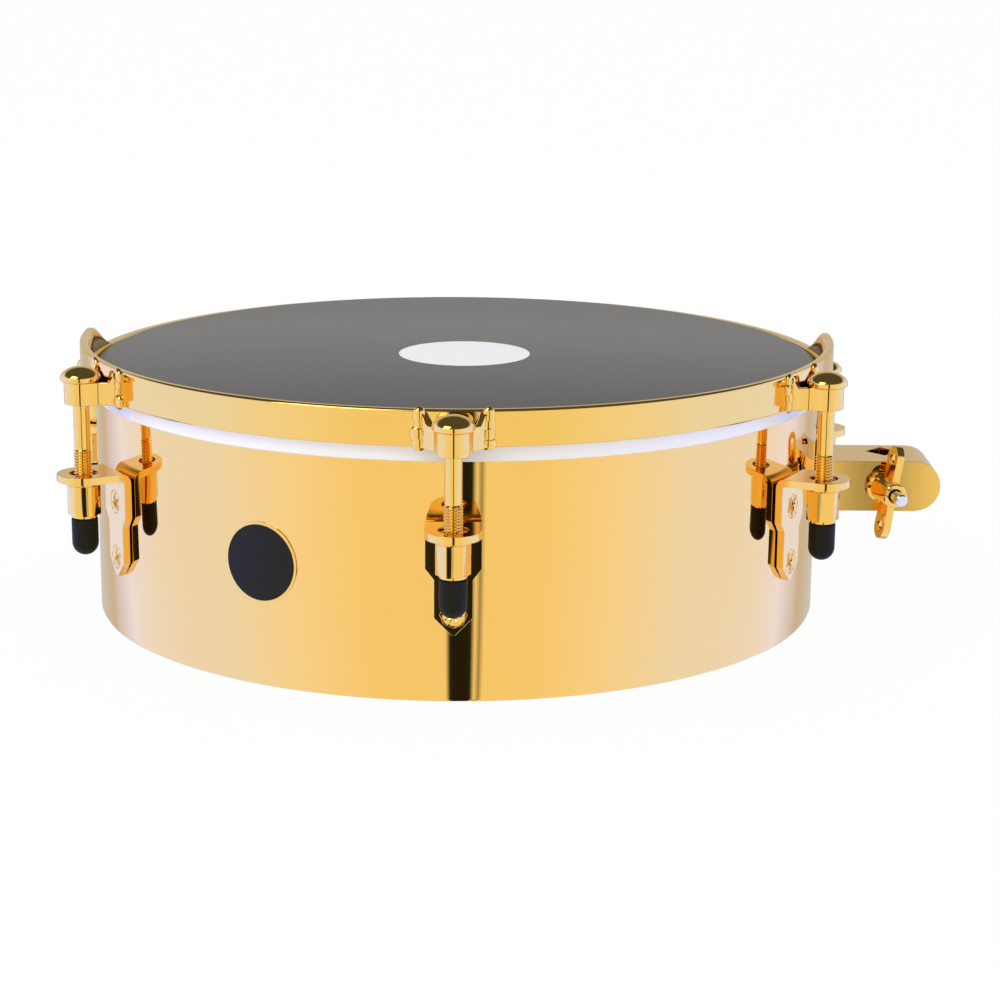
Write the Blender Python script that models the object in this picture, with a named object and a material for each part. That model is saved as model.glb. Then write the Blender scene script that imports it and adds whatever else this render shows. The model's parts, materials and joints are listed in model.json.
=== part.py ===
"""Hand drum of the small timbale kind: steel shell, film head, cutaway rim, six tension lugs, stand clamp.

Metres, +Z up. Heights are written from the shell's base; the whole drum hangs on one empty that puts the
origin at the centre of the playing face. Azimuths are in degrees, -90 facing the player's front view.
"""

import math

import bmesh
import bpy
from mathutils import Matrix, Vector

# Shell, hoop and head, each hoop's radius built up from the shell's
SHELL_RADIUS = 0.1645
SHELL_WALL = 0.0015
SHELL_TOP = 0.1110
BASE_LIP_WIDTH = 0.009
EDGE_INSET = 0.0030
EDGE_CREST_RADIUS = SHELL_RADIUS - EDGE_INSET
FACE_HEIGHT = 0.1119
FILM = 0.0005
HOOP_CLEARANCE = 0.0004
HOOP_THICKNESS = 0.0015
HOOP_INNER_RADIUS = SHELL_RADIUS + HOOP_CLEARANCE
HOOP_OUTER_RADIUS = HOOP_INNER_RADIUS + HOOP_THICKNESS
FILM_SETBACK = 0.0001
FILM_OUTER_RADIUS = HOOP_OUTER_RADIUS - FILM_SETBACK
HOOP_BOTTOM = 0.1008
HOOP_TOP = 0.1076

# Rim: a standing band with a small inner foot, cut down over its back half
RIM_CLEARANCE = 0.0005
RIM_WALL = 0.00385
RIM_INNER_RADIUS = HOOP_OUTER_RADIUS + RIM_CLEARANCE
RIM_RADIUS = RIM_INNER_RADIUS + RIM_WALL
RIM_FRONT_TOP = 0.1229
RIM_FRONT_BOTTOM = 0.1077
RIM_BACK_TOP = 0.1105
RIM_BACK_BOTTOM = 0.0880
FOOT_BOTTOM = 0.1089
FOOT_TOP = 0.1102
FOOT_WIDTH = 0.0010
TOP_STEP_DEG = (1.0, 12.5)
BOTTOM_STEP_DEG = (3.0, 14.0)

# Lugs
FRONT_AZIMUTHS = {"front_left": -150.5, "front_centre": -89.5, "front_right": -29.5}
BACK_AZIMUTHS = {"back_right": 16.5, "back_centre": 90.0, "back_left": 163.5}
ROD_STANDOFF = 0.01125
ROD_CIRCLE = RIM_RADIUS + ROD_STANDOFF
BACK_EAR_DROP = 0.022
BACK_BRACKET_DROP = 0.0085
STRAP_BOTTOM = 0.1073
STRAP_HEIGHT = 0.0097
STRAP_THICKNESS = 0.0026
STRAP_END_RADIUS = 0.0071
EAR_HALF_WIDTH = 0.0133
EAR_ROOT_RISE = 0.0052
DOME_RADIUS = 0.0086
DOME_EDGE = 0.0014
DOME_RISE = 0.0047
SHANK_RADIUS = 0.00355
THREAD_RADIUS = 0.00395
PLAIN_LENGTH = 0.0293
ROD_END_BELOW_NUT = 0.0105

SHELF_TOP = 0.0770
PLATE_THICKNESS = 0.0032
SHELF_END_RADIUS = 0.0114
BEND_RADIUS = 0.0042
BRACKET_WIDTH = 0.0230
BRACKET_NARROW = 0.0158
NARROW_START = 0.0189
NARROW_END = 0.0244
POINT_START = 0.0403
BRACKET_LENGTH = 0.0476
SHELF_HOLE_RADIUS = 0.0063
SCREW_DROPS = (0.0143, 0.0390)
SCREW_HEAD_RADIUS = 0.0052
SCREW_HEAD_DEPTH = 0.0026
SCREW_SHANK_RADIUS = 0.0021
INNER_NUT_RADIUS = 0.0045
INNER_NUT_HEIGHT = 0.0030

NUT_COLLAR_RADIUS = 0.0080
NUT_COLLAR_HEIGHT = 0.0016
NUT_HEIGHT = 0.0160
NUT_ACROSS_FLATS = 0.0125
NUT_NECK_RADIUS = 0.0056
NUT_NECK_HEIGHT = 0.0012
CAP_RADIUS = 0.0057
CAP_LENGTH = 0.0163
CAP_BORE_DEPTH = 0.0128

# Stand clamp
CLAMP_LENGTH = 0.0567
CLAMP_NOSE = SHELL_RADIUS + CLAMP_LENGTH
CLAMP_HALF_WIDTH = 0.0170
CLAMP_TOP = 0.0675
CLAMP_BOTTOM = 0.0443
FLANGE_TOP = 0.0762
FLANGE_BOTTOM = 0.0356
FLANGE_THICKNESS = 0.0024
PASSAGE_STANDOFF = 0.0325
PASSAGE_CENTRE = (SHELL_RADIUS + PASSAGE_STANDOFF, 0.0042)
PASSAGE_DIAGONALS = (0.0160, 0.0172)
POCKET_CLEARANCE = 0.0012
STUD_STANDOFF = 0.0289
STUD_FACE_X = SHELL_RADIUS + STUD_STANDOFF
STUD_HEIGHT = 0.0561
STUD_TILT_DEG = 12.0
STUD_RADIUS = 0.0030
STUD_LENGTH = 0.0290
STUD_HOLE_RADIUS = 0.0056
EYE_INNER_RADIUS = 0.0066
EYE_WALL = 0.0030
EYE_THICKNESS = 0.0060
EYE_TRAVEL = 0.0030
WING_FLANGE_RADIUS = 0.0070
WING_FLANGE_HEIGHT = 0.0016
WING_FLANGE_STANDOFF = 0.0019
BARREL_RADIUS = 0.0055
BARREL_END = 0.0204
WING_REACH = 0.0215
WING_LENGTH = 0.0120
WING_THICKNESS = 0.0034
WING_HOLE_RADIUS = 0.0030
WING_TURN_DEG = 9.0
CLAMP_SCREW_RADIUS = 0.0030

GAP = 0.0003
THREAD_CLEARANCE = 0.00035
ROUND_STEPS = 64
RIM_STEPS = 80
SMALL_STEPS = 12
SCREW_STEPS = 8

GOLD = ("gold_plate", (0.93, 0.66, 0.24, 1.0), 0.06, 1.0)
FILM_BLACK = ("film_black", (0.045, 0.042, 0.04, 1.0), 0.35, 0.0)
ALUMINIUM = ("hoop_aluminium", (0.86, 0.87, 0.89, 1.0), 0.3, 1.0)
RUBBER = ("cap_rubber", (0.02, 0.02, 0.022, 1.0), 0.55, 0.0)
STEEL = ("stud_steel", (0.75, 0.75, 0.76, 1.0), 0.2, 1.0)


def clear_scene():
    for obj in list(bpy.data.objects):
        bpy.data.objects.remove(obj, do_unlink=True)


def material(look):
    name, colour, roughness, metallic = look
    found = bpy.data.materials.get(name)
    if found:
        return found
    made = bpy.data.materials.new(name)
    made.use_nodes = True
    shader = made.node_tree.nodes["Principled BSDF"]
    shader.inputs["Base Color"].default_value = colour
    shader.inputs["Roughness"].default_value = roughness
    shader.inputs["Metallic"].default_value = metallic
    return made


def mesh_from(bm, name):
    bmesh.ops.remove_doubles(bm, verts=bm.verts, dist=1e-7)
    bmesh.ops.recalc_face_normals(bm, faces=bm.faces)
    mesh = bpy.data.meshes.new(name)
    bm.to_mesh(mesh)
    bm.free()
    mesh.shade_smooth()
    mesh.set_sharp_from_angle(angle=math.radians(32))
    return mesh


def piece(name, mesh, look, parent=None, location=(0, 0, 0), rotation=(0, 0, 0)):
    obj = bpy.data.objects.new(name, mesh)
    bpy.context.scene.collection.objects.link(obj)
    if look and not mesh.materials:
        mesh.materials.append(material(look))
    obj.parent = parent
    obj.location = location
    obj.rotation_euler = rotation
    return obj


def holder(name, parent=None, location=(0, 0, 0), rotation=(0, 0, 0)):
    empty = bpy.data.objects.new(name, None)
    bpy.context.scene.collection.objects.link(empty)
    empty.parent = parent
    empty.location = location
    empty.rotation_euler = rotation
    return empty


def turned(name, profile, steps=SMALL_STEPS, closed=False):
    """A profile of (radius, height) points turned about Z."""
    bm = bmesh.new()
    points = [bm.verts.new((radius, 0, height)) for radius, height in profile]
    edges = [bm.edges.new(pair) for pair in zip(points, points[1:])]
    if closed:
        edges.append(bm.edges.new((points[-1], points[0])))
    bmesh.ops.spin(bm, geom=points + edges, cent=(0, 0, 0), axis=(0, 0, 1), angle=math.tau,
                   steps=steps, use_merge=True)
    return mesh_from(bm, name)


def prism(name, outline, low, high, matrix=None):
    """An outline of (x, y) points extruded from low to high along Z, then placed by the matrix."""
    bm = bmesh.new()
    face = bm.faces.new([bm.verts.new((x, y, low)) for x, y in outline])
    made = bmesh.ops.extrude_face_region(bm, geom=[face])
    top = [item for item in made["geom"] if isinstance(item, bmesh.types.BMVert)]
    bmesh.ops.translate(bm, verts=top, vec=(0, 0, high - low))
    if matrix:
        bmesh.ops.transform(bm, matrix=matrix, verts=bm.verts)
    return mesh_from(bm, name)


def strip(name, outer, inner, low, high):
    """The quads between two outlines of as many points each, extruded from low to high along Z."""
    bm = bmesh.new()
    rows = [[bm.verts.new((x, y, low)) for x, y in line] for line in (outer, inner)]
    faces = [bm.faces.new((rows[0][i], rows[0][i + 1], rows[1][i + 1], rows[1][i])) for i in range(len(outer) - 1)]
    made = bmesh.ops.extrude_face_region(bm, geom=faces)
    top = [item for item in made["geom"] if isinstance(item, bmesh.types.BMVert)]
    bmesh.ops.translate(bm, verts=top, vec=(0, 0, high - low))
    return mesh_from(bm, name)


def arc(centre, radius, start_deg, end_deg, steps):
    return [(centre[0] + radius * math.cos(math.radians(start_deg + (end_deg - start_deg) * i / steps)),
             centre[1] + radius * math.sin(math.radians(start_deg + (end_deg - start_deg) * i / steps)))
            for i in range(steps + 1)]


def combined(name, base, others):
    """The base mesh after its Booleans, as a new mesh. Each of the others is (operation, mesh)."""
    body = piece(name + "_blank", base, None)
    helpers = [body]
    for number, (operation, mesh) in enumerate(others):
        helper = piece(f"{name}_tool_{number}", mesh, None)
        helpers.append(helper)
        step = body.modifiers.new(f"step_{number}", "BOOLEAN")
        step.operation = operation
        step.solver = "EXACT"
        step.object = helper
    graph = bpy.context.evaluated_depsgraph_get()
    made = bpy.data.meshes.new_from_object(body.evaluated_get(graph))
    made.name = name
    for helper in helpers:
        bpy.data.objects.remove(helper, do_unlink=True)
    made.shade_smooth()
    made.set_sharp_from_angle(angle=math.radians(32))
    return made


def cylinder(name, radius, low, high, matrix=None, steps=SMALL_STEPS):
    return prism(name, arc((0, 0), radius, 0, 360 - 360 / steps, steps - 1), low, high, matrix)


def outward(azimuth, height):
    """Turns local +Z to point radially outward at the azimuth, at that height."""
    turn = Matrix.Rotation(math.radians(azimuth), 4, "Z") @ Matrix.Rotation(math.pi / 2, 4, "Y")
    return Matrix.Translation((0, 0, height)) @ turn


def smooth_step(value, limits):
    share = min(max((value - limits[0]) / (limits[1] - limits[0]), 0.0), 1.0)
    return share * share * (3 - 2 * share)


def behind_side_axis(x, y):
    """Degrees behind the left-right axis, zero or less over the front half."""
    return math.degrees(math.atan2(y, abs(x)))


def lug_drops(name):
    back = name.startswith("back")
    return (BACK_EAR_DROP, BACK_BRACKET_DROP) if back else (0.0, 0.0)


def make_shell(drum, screw_places):
    inner = SHELL_RADIUS - SHELL_WALL
    shoulder = HOOP_TOP - 0.0004
    profile = [(SHELL_RADIUS, 0), (SHELL_RADIUS, shoulder), (SHELL_RADIUS - 0.0020, SHELL_TOP - 0.0006),
               (EDGE_CREST_RADIUS, SHELL_TOP), (EDGE_CREST_RADIUS - 0.0010, SHELL_TOP - 0.0006),
               (EDGE_CREST_RADIUS - 0.0006, SHELL_TOP - 0.0019), (inner, shoulder - 0.0010),
               (inner, SHELL_WALL), (SHELL_RADIUS - BASE_LIP_WIDTH, SHELL_WALL),
               (SHELL_RADIUS - BASE_LIP_WIDTH, 0)]
    blank = turned("shell_blank", profile, ROUND_STEPS, closed=True)
    holes = [("DIFFERENCE", cylinder("shell_hole", radius + GAP, SHELL_RADIUS - 0.006, SHELL_RADIUS + 0.004,
                                     outward(azimuth, height), 8))
             for azimuth, height, radius in screw_places]
    piece("shell", combined("shell", blank, holes), GOLD, drum)


def make_head(drum):
    top, under = FACE_HEIGHT, FACE_HEIGHT - FILM
    fold = EDGE_CREST_RADIUS
    profile = [(0, top), (fold, top), (fold + 0.0017, top - 0.0006), (fold + 0.0035, top - 0.0029),
               (FILM_OUTER_RADIUS, HOOP_TOP + 0.0008), (FILM_OUTER_RADIUS, HOOP_TOP + GAP),
               (HOOP_INNER_RADIUS, HOOP_TOP + GAP), (fold + 0.0014, under - 0.0007), (fold, under), (0, under)]
    piece("head", turned("head", profile, ROUND_STEPS), FILM_BLACK, drum)


def make_flesh_hoop(drum):
    inner = HOOP_INNER_RADIUS
    edge = 0.0004
    profile = [(HOOP_OUTER_RADIUS, HOOP_BOTTOM + edge), (HOOP_OUTER_RADIUS, HOOP_TOP), (inner, HOOP_TOP),
               (inner, HOOP_BOTTOM), (HOOP_OUTER_RADIUS - edge, HOOP_BOTTOM)]
    piece("flesh_hoop", turned("flesh_hoop", profile, ROUND_STEPS, closed=True), ALUMINIUM, drum)


def make_rim(drum):
    inner = RIM_INNER_RADIUS
    edge = 0.0011
    steps = RIM_STEPS
    profile = [(RIM_RADIUS, RIM_FRONT_BOTTOM), (RIM_RADIUS, RIM_FRONT_TOP - edge),
               (RIM_RADIUS - edge * 0.3, RIM_FRONT_TOP - edge * 0.3), (RIM_RADIUS - edge, RIM_FRONT_TOP),
               (inner + edge, RIM_FRONT_TOP), (inner, RIM_FRONT_TOP - edge),
               (inner, FOOT_TOP), (inner - FOOT_WIDTH, FOOT_TOP), (inner - FOOT_WIDTH, FOOT_BOTTOM),
               (inner, FOOT_BOTTOM), (inner, RIM_FRONT_BOTTOM)]
    mesh = turned("rim", profile, steps, closed=True)
    top_drop = RIM_FRONT_TOP - RIM_BACK_TOP
    bottom_drop = RIM_FRONT_BOTTOM - RIM_BACK_BOTTOM
    flattest = 1 - (RIM_FRONT_TOP - edge - FOOT_TOP - top_drop) / edge
    for vertex in mesh.vertices:
        angle = behind_side_axis(vertex.co.x, vertex.co.y)
        if vertex.co.z > FOOT_TOP + edge:
            low = smooth_step(angle, TOP_STEP_DEG)
            from_top = RIM_FRONT_TOP - vertex.co.z
            squeeze = 1 - low * max(0.0, flattest) * 0.95
            vertex.co.z = RIM_FRONT_TOP - low * top_drop - from_top * min(squeeze, 1.0)
        elif vertex.co.z < FOOT_BOTTOM - GAP:
            vertex.co.z -= smooth_step(angle, BOTTOM_STEP_DEG) * bottom_drop
    piece("rim", mesh, GOLD, drum)


def ear_mesh(root_low, root_high, strap_low):
    """The strap loop in a lug's own frame: +X outward, the rod's axis at the rod circle."""
    face = RIM_RADIUS + GAP

    def side(half_root, end_radius, steps):
        bend = [(ROD_CIRCLE, 0)]
        root_x = math.sqrt(face ** 2 - half_root ** 2)
        waist = (ROD_CIRCLE - 0.0045, end_radius * 1.02)
        lean = [(root_x, half_root), (root_x + 0.0012, half_root * 0.88 + end_radius * 0.12),
                (root_x + 0.0028, half_root * 0.66 + end_radius * 0.34),
                (waist[0] - 0.0012, end_radius * 1.12), waist]
        return lean + arc(bend[0], end_radius, 88, -88, steps) + [(x, -y) for x, y in reversed(lean)]

    outer = side(EAR_HALF_WIDTH, STRAP_END_RADIUS, 10)
    inner = side(EAR_HALF_WIDTH - STRAP_THICKNESS - 0.0004, STRAP_END_RADIUS - STRAP_THICKNESS, 10)
    mesh = strip("ear", outer, inner, strap_low, strap_low + STRAP_HEIGHT)
    for vertex in mesh.vertices:
        rise = smooth_step(ROD_CIRCLE - vertex.co.x, (0.0084, ROD_CIRCLE - face + 0.0004))
        if vertex.co.z > strap_low + STRAP_HEIGHT / 2:
            vertex.co.z += rise * (root_high - strap_low - STRAP_HEIGHT)
        else:
            vertex.co.z += rise * (root_low - strap_low)
    return mesh


def rod_mesh(strap_top, rod_end):
    seat = strap_top + GAP
    cap_steps = 4
    rise = [(DOME_RADIUS * math.sin(math.pi / 2 * i / cap_steps),
             seat + DOME_EDGE + DOME_RISE * math.cos(math.pi / 2 * i / cap_steps) ** 1.2)
            for i in range(cap_steps + 1)]
    plain_end = seat - PLAIN_LENGTH
    profile = rise + [(DOME_RADIUS, seat + 0.0003), (DOME_RADIUS - 0.0003, seat), (SHANK_RADIUS, seat),
                      (SHANK_RADIUS, plain_end), (THREAD_RADIUS, plain_end - 0.0004),
                      (THREAD_RADIUS, rod_end + 0.0010), (THREAD_RADIUS - 0.0010, rod_end), (0, rod_end)]
    return turned("rod", profile, SMALL_STEPS)


def nut_mesh():
    """Hanging from its bearing face at Z 0."""
    bore = THREAD_RADIUS + THREAD_CLEARANCE
    hex_low = -NUT_HEIGHT + NUT_NECK_HEIGHT
    corner = NUT_ACROSS_FLATS / 2 / math.cos(math.pi / 6)
    ring = turned("nut_ring", [(bore + 0.0006, 0), (NUT_COLLAR_RADIUS, 0), (NUT_COLLAR_RADIUS, -0.0005),
                               (corner * 0.97, -NUT_COLLAR_HEIGHT), (corner * 0.80, -0.006),
                               (NUT_NECK_RADIUS * 0.95, -0.009), (NUT_NECK_RADIUS, hex_low - 0.0001),
                               (NUT_NECK_RADIUS - 0.0003, -NUT_HEIGHT), (bore + 0.0006, -NUT_HEIGHT)],
                  SMALL_STEPS, closed=True)
    hexagon = cylinder("nut_hex", corner, hex_low, -NUT_COLLAR_HEIGHT + 0.0003, steps=6)
    hole = cylinder("nut_bore", bore, -NUT_HEIGHT - 0.002, 0.002)
    return combined("nut", ring, [("UNION", hexagon), ("DIFFERENCE", hole)])


def cap_mesh():
    """Hanging from its mouth at Z 0."""
    bore = THREAD_RADIUS + THREAD_CLEARANCE
    round_height = CAP_RADIUS * 0.98
    straight = CAP_LENGTH - round_height
    end = [(CAP_RADIUS * math.cos(math.pi / 2 * i / 4), -straight - round_height * math.sin(math.pi / 2 * i / 4))
           for i in range(5)]
    end[-1] = (0, -CAP_LENGTH)
    profile = [(0, -CAP_BORE_DEPTH), (bore, -CAP_BORE_DEPTH), (bore, 0), (CAP_RADIUS - 0.0002, 0),
               (CAP_RADIUS, -0.0003)] + end
    return turned("cap", profile, SMALL_STEPS)


def screw_mesh():
    """Along Z: the head's face at Z 0, the shank running down through the plate and the shell's wall."""
    wall_inside = -(PLATE_THICKNESS + GAP + SHELL_WALL)
    nut_near = wall_inside - GAP
    nut_far = nut_near - INNER_NUT_HEIGHT
    profile = [(0, -0.0002), (SCREW_HEAD_RADIUS - 0.0003, 0), (SCREW_HEAD_RADIUS, -0.0003),
               (SCREW_SHANK_RADIUS, -SCREW_HEAD_DEPTH), (SCREW_SHANK_RADIUS, nut_near),
               (INNER_NUT_RADIUS, nut_near), (INNER_NUT_RADIUS, nut_far), (0, nut_far)]
    return turned("screw", profile, SCREW_STEPS)


def screw_pocket(height):
    """The countersunk hole for that screw, at its height on the plate's face, in a lug's frame."""
    face = SHELL_RADIUS + GAP + PLATE_THICKNESS
    profile = [(0, 0.001), (SCREW_HEAD_RADIUS + GAP, 0.001), (SCREW_HEAD_RADIUS + GAP, -0.0003 - GAP),
               (SCREW_SHANK_RADIUS + GAP, -SCREW_HEAD_DEPTH - GAP), (SCREW_SHANK_RADIUS + GAP, -0.008), (0, -0.008)]
    mesh = turned("pocket", profile, SCREW_STEPS)
    mesh.transform(Matrix.Translation((face, 0, height)) @ Matrix.Rotation(math.pi / 2, 4, "Y"))
    return mesh


def bracket_mesh(top):
    """The bent plate in a lug's frame, its shelf's upper face at this height."""
    back = SHELL_RADIUS + GAP
    face = back + PLATE_THICKNESS
    bottom = top - BRACKET_LENGTH
    inside_bend = BEND_RADIUS - PLATE_THICKNESS
    outer_bend = arc((back + BEND_RADIUS, top - BEND_RADIUS), BEND_RADIUS, 180, 90, 4)
    inner_bend = arc((face + inside_bend, top - PLATE_THICKNESS - inside_bend), inside_bend, 90, 180, 3)
    side = [(back, bottom - 0.003)] + outer_bend + [(ROD_CIRCLE + 0.02, top),
                                                    (ROD_CIRCLE + 0.02, top - PLATE_THICKNESS)]
    side += inner_bend + [(face, bottom - 0.003)]
    upright = Matrix.Rotation(math.pi / 2, 4, "X")
    blank = prism("bracket_blank", side, -0.016, 0.016, upright)
    half = BRACKET_WIDTH / 2
    plan = [(back - 0.004, -half), (ROD_CIRCLE, -half)]
    plan += arc((ROD_CIRCLE, 0), SHELF_END_RADIUS, -84, 84, 10) + [(ROD_CIRCLE, half), (back - 0.004, half)]
    narrow = BRACKET_NARROW / 2
    right = [(half + 0.001, top + 0.004), (half + 0.001, top - NARROW_START + 0.0004), (narrow, top - NARROW_END),
             (narrow, top - POINT_START), (0.0008, bottom)]
    front = right + [(-y, z) for y, z in reversed(right)]
    across = Matrix(((0, 0, 1, 0), (1, 0, 0, 0), (0, 1, 0, 0), (0, 0, 0, 1)))
    tools = [("INTERSECT", prism("plan", plan, bottom - 0.01, top + 0.01)),
             ("INTERSECT", prism("front", front, back - 0.01, ROD_CIRCLE + 0.03, across)),
             ("DIFFERENCE", cylinder("shelf_hole", SHELF_HOLE_RADIUS, top - 0.01, top + 0.01,
                                     Matrix.Translation((ROD_CIRCLE, 0, 0))))]
    tools += [("DIFFERENCE", screw_pocket(top - drop)) for drop in SCREW_DROPS]
    return combined("bracket", blank, tools)


def make_lugs(drum):
    """Every lug has its ear, rod, nut, cap, bracket and two screws. It returns the screws' places."""
    nut, cap, screw = nut_mesh(), cap_mesh(), screw_mesh()
    shapes = {}
    places = []
    for name, azimuth in {**FRONT_AZIMUTHS, **BACK_AZIMUTHS}.items():
        ear_drop, bracket_drop = lug_drops(name)
        strap_low = STRAP_BOTTOM - ear_drop
        shelf_top = SHELF_TOP - bracket_drop
        nut_seat = shelf_top - PLATE_THICKNESS - GAP
        cap_mouth = nut_seat - NUT_HEIGHT - GAP
        rod_end = cap_mouth - ROD_END_BELOW_NUT
        if ear_drop not in shapes:
            root_low = strap_low + 0.0004 if ear_drop == 0 else RIM_BACK_BOTTOM + 0.0004
            root_high = strap_low + STRAP_HEIGHT + EAR_ROOT_RISE
            shapes[ear_drop] = (ear_mesh(root_low, root_high, strap_low),
                                rod_mesh(strap_low + STRAP_HEIGHT, rod_end), bracket_mesh(shelf_top))
        ear, rod, bracket = shapes[ear_drop]
        lug = holder("lug_" + name, drum, rotation=(0, 0, math.radians(azimuth)))
        rod_axis = holder("rod_axis_" + name, lug, location=(ROD_CIRCLE, 0, 0))
        piece("rim_ear_" + name, ear, GOLD, lug)
        piece("tension_rod_" + name, rod, GOLD, rod_axis)
        piece("tension_nut_" + name, nut, GOLD, rod_axis, (0, 0, nut_seat))
        piece("rod_cap_" + name, cap, RUBBER, rod_axis, (0, 0, cap_mouth))
        piece("lug_bracket_" + name, bracket, GOLD, lug)
        for number, drop in enumerate(SCREW_DROPS):
            face = SHELL_RADIUS + GAP + PLATE_THICKNESS - 0.0001
            piece(f"bracket_screw_{name}_{'upper' if number == 0 else 'lower'}", screw, GOLD, lug,
                  (face, 0, shelf_top - drop), (0, math.pi / 2, 0))
            places.append((azimuth, shelf_top - drop, SCREW_SHANK_RADIUS))
    return places


def clamp_screw_heights():
    return ((FLANGE_TOP + CLAMP_TOP) / 2, (FLANGE_BOTTOM + CLAMP_BOTTOM) / 2)


def make_clamp(drum):
    back = SHELL_RADIUS + GAP
    nose_radius = (CLAMP_TOP - CLAMP_BOTTOM) / 2
    middle = (CLAMP_TOP + CLAMP_BOTTOM) / 2
    side = [(back + 0.0012, CLAMP_BOTTOM)] + arc((CLAMP_NOSE - nose_radius, middle), nose_radius, -90, 90, 12)
    side += [(back + 0.0012, CLAMP_TOP)]
    upright = Matrix.Rotation(math.pi / 2, 4, "X")
    block = prism("clamp_block", side, -CLAMP_HALF_WIDTH, CLAMP_HALF_WIDTH, upright)
    half = CLAMP_HALF_WIDTH + 0.0006
    flange = prism("clamp_flange", [(back, -half), (back + FLANGE_THICKNESS, -half), (back + FLANGE_THICKNESS, half),
                                    (back, half)], FLANGE_BOTTOM, FLANGE_TOP)
    cx, cy = PASSAGE_CENTRE
    dx, dy = PASSAGE_DIAGONALS[0] / 2, PASSAGE_DIAGONALS[1] / 2
    passage = prism("passage", [(cx + dx, cy), (cx, cy + dy), (cx - dx, cy), (cx, cy - dy)],
                    CLAMP_BOTTOM - 0.004, CLAMP_TOP + 0.004)
    reach = EYE_INNER_RADIUS + EYE_WALL + POCKET_CLEARANCE
    front = cy - reach - EYE_TRAVEL
    pocket = prism("eye_pocket", [(cx - reach - 0.0014, front), (cx + reach, front), (cx + reach, 0.03),
                                  (cx - reach - 0.0014, 0.03)], STUD_HEIGHT - EYE_THICKNESS / 2 - POCKET_CLEARANCE,
                   STUD_HEIGHT + EYE_THICKNESS / 2 + POCKET_CLEARANCE)
    hole = prism("stud_hole", [(STUD_FACE_X - 0.0012 + x, STUD_HEIGHT + z) for x, z in
                               arc((0, 0), STUD_HOLE_RADIUS, 0, 342, 19)],
                 CLAMP_HALF_WIDTH + 0.002, -front - 0.002, upright)
    tools = [("UNION", flange), ("DIFFERENCE", passage), ("DIFFERENCE", pocket), ("DIFFERENCE", hole)]
    for height in clamp_screw_heights():
        tools.append(("DIFFERENCE", cylinder("screw_hole", SCREW_SHANK_RADIUS + GAP, SHELL_RADIUS - 0.002,
                                             back + FLANGE_THICKNESS + 0.002, outward(0, height), 12)))
    piece("clamp_body", combined("clamp_body", block, tools), GOLD, drum)

    wall_inside = SHELL_RADIUS - SHELL_WALL
    head_seat = back + FLANGE_THICKNESS + GAP
    nut_near = wall_inside - GAP
    screw = turned("clamp_screw", [(0, head_seat + 0.0020), (CLAMP_SCREW_RADIUS * 0.6, head_seat + 0.0019),
                                   (CLAMP_SCREW_RADIUS, head_seat + 0.0010), (CLAMP_SCREW_RADIUS, head_seat),
                                   (SCREW_SHANK_RADIUS, head_seat), (SCREW_SHANK_RADIUS, nut_near),
                                   (INNER_NUT_RADIUS, nut_near), (INNER_NUT_RADIUS, nut_near - INNER_NUT_HEIGHT),
                                   (0, nut_near - INNER_NUT_HEIGHT)], 14)
    for label, height in zip(("upper", "lower"), clamp_screw_heights()):
        piece("clamp_screw_" + label, screw, GOLD, drum, (0, 0, height), (0, math.pi / 2, 0))


def stud_frame():
    """The stud's own frame: +Z along the stud away from the clamp, +Y up, origin on the clamp's front face."""
    tilt = math.radians(STUD_TILT_DEG)
    along = Vector((math.sin(tilt), -math.cos(tilt), 0))
    up = Vector((0, 0, 1))
    across = up.cross(along)
    frame = Matrix((across, up, along)).transposed().to_4x4()
    frame.translation = (STUD_FACE_X, -CLAMP_HALF_WIDTH, STUD_HEIGHT)
    return frame


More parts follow.
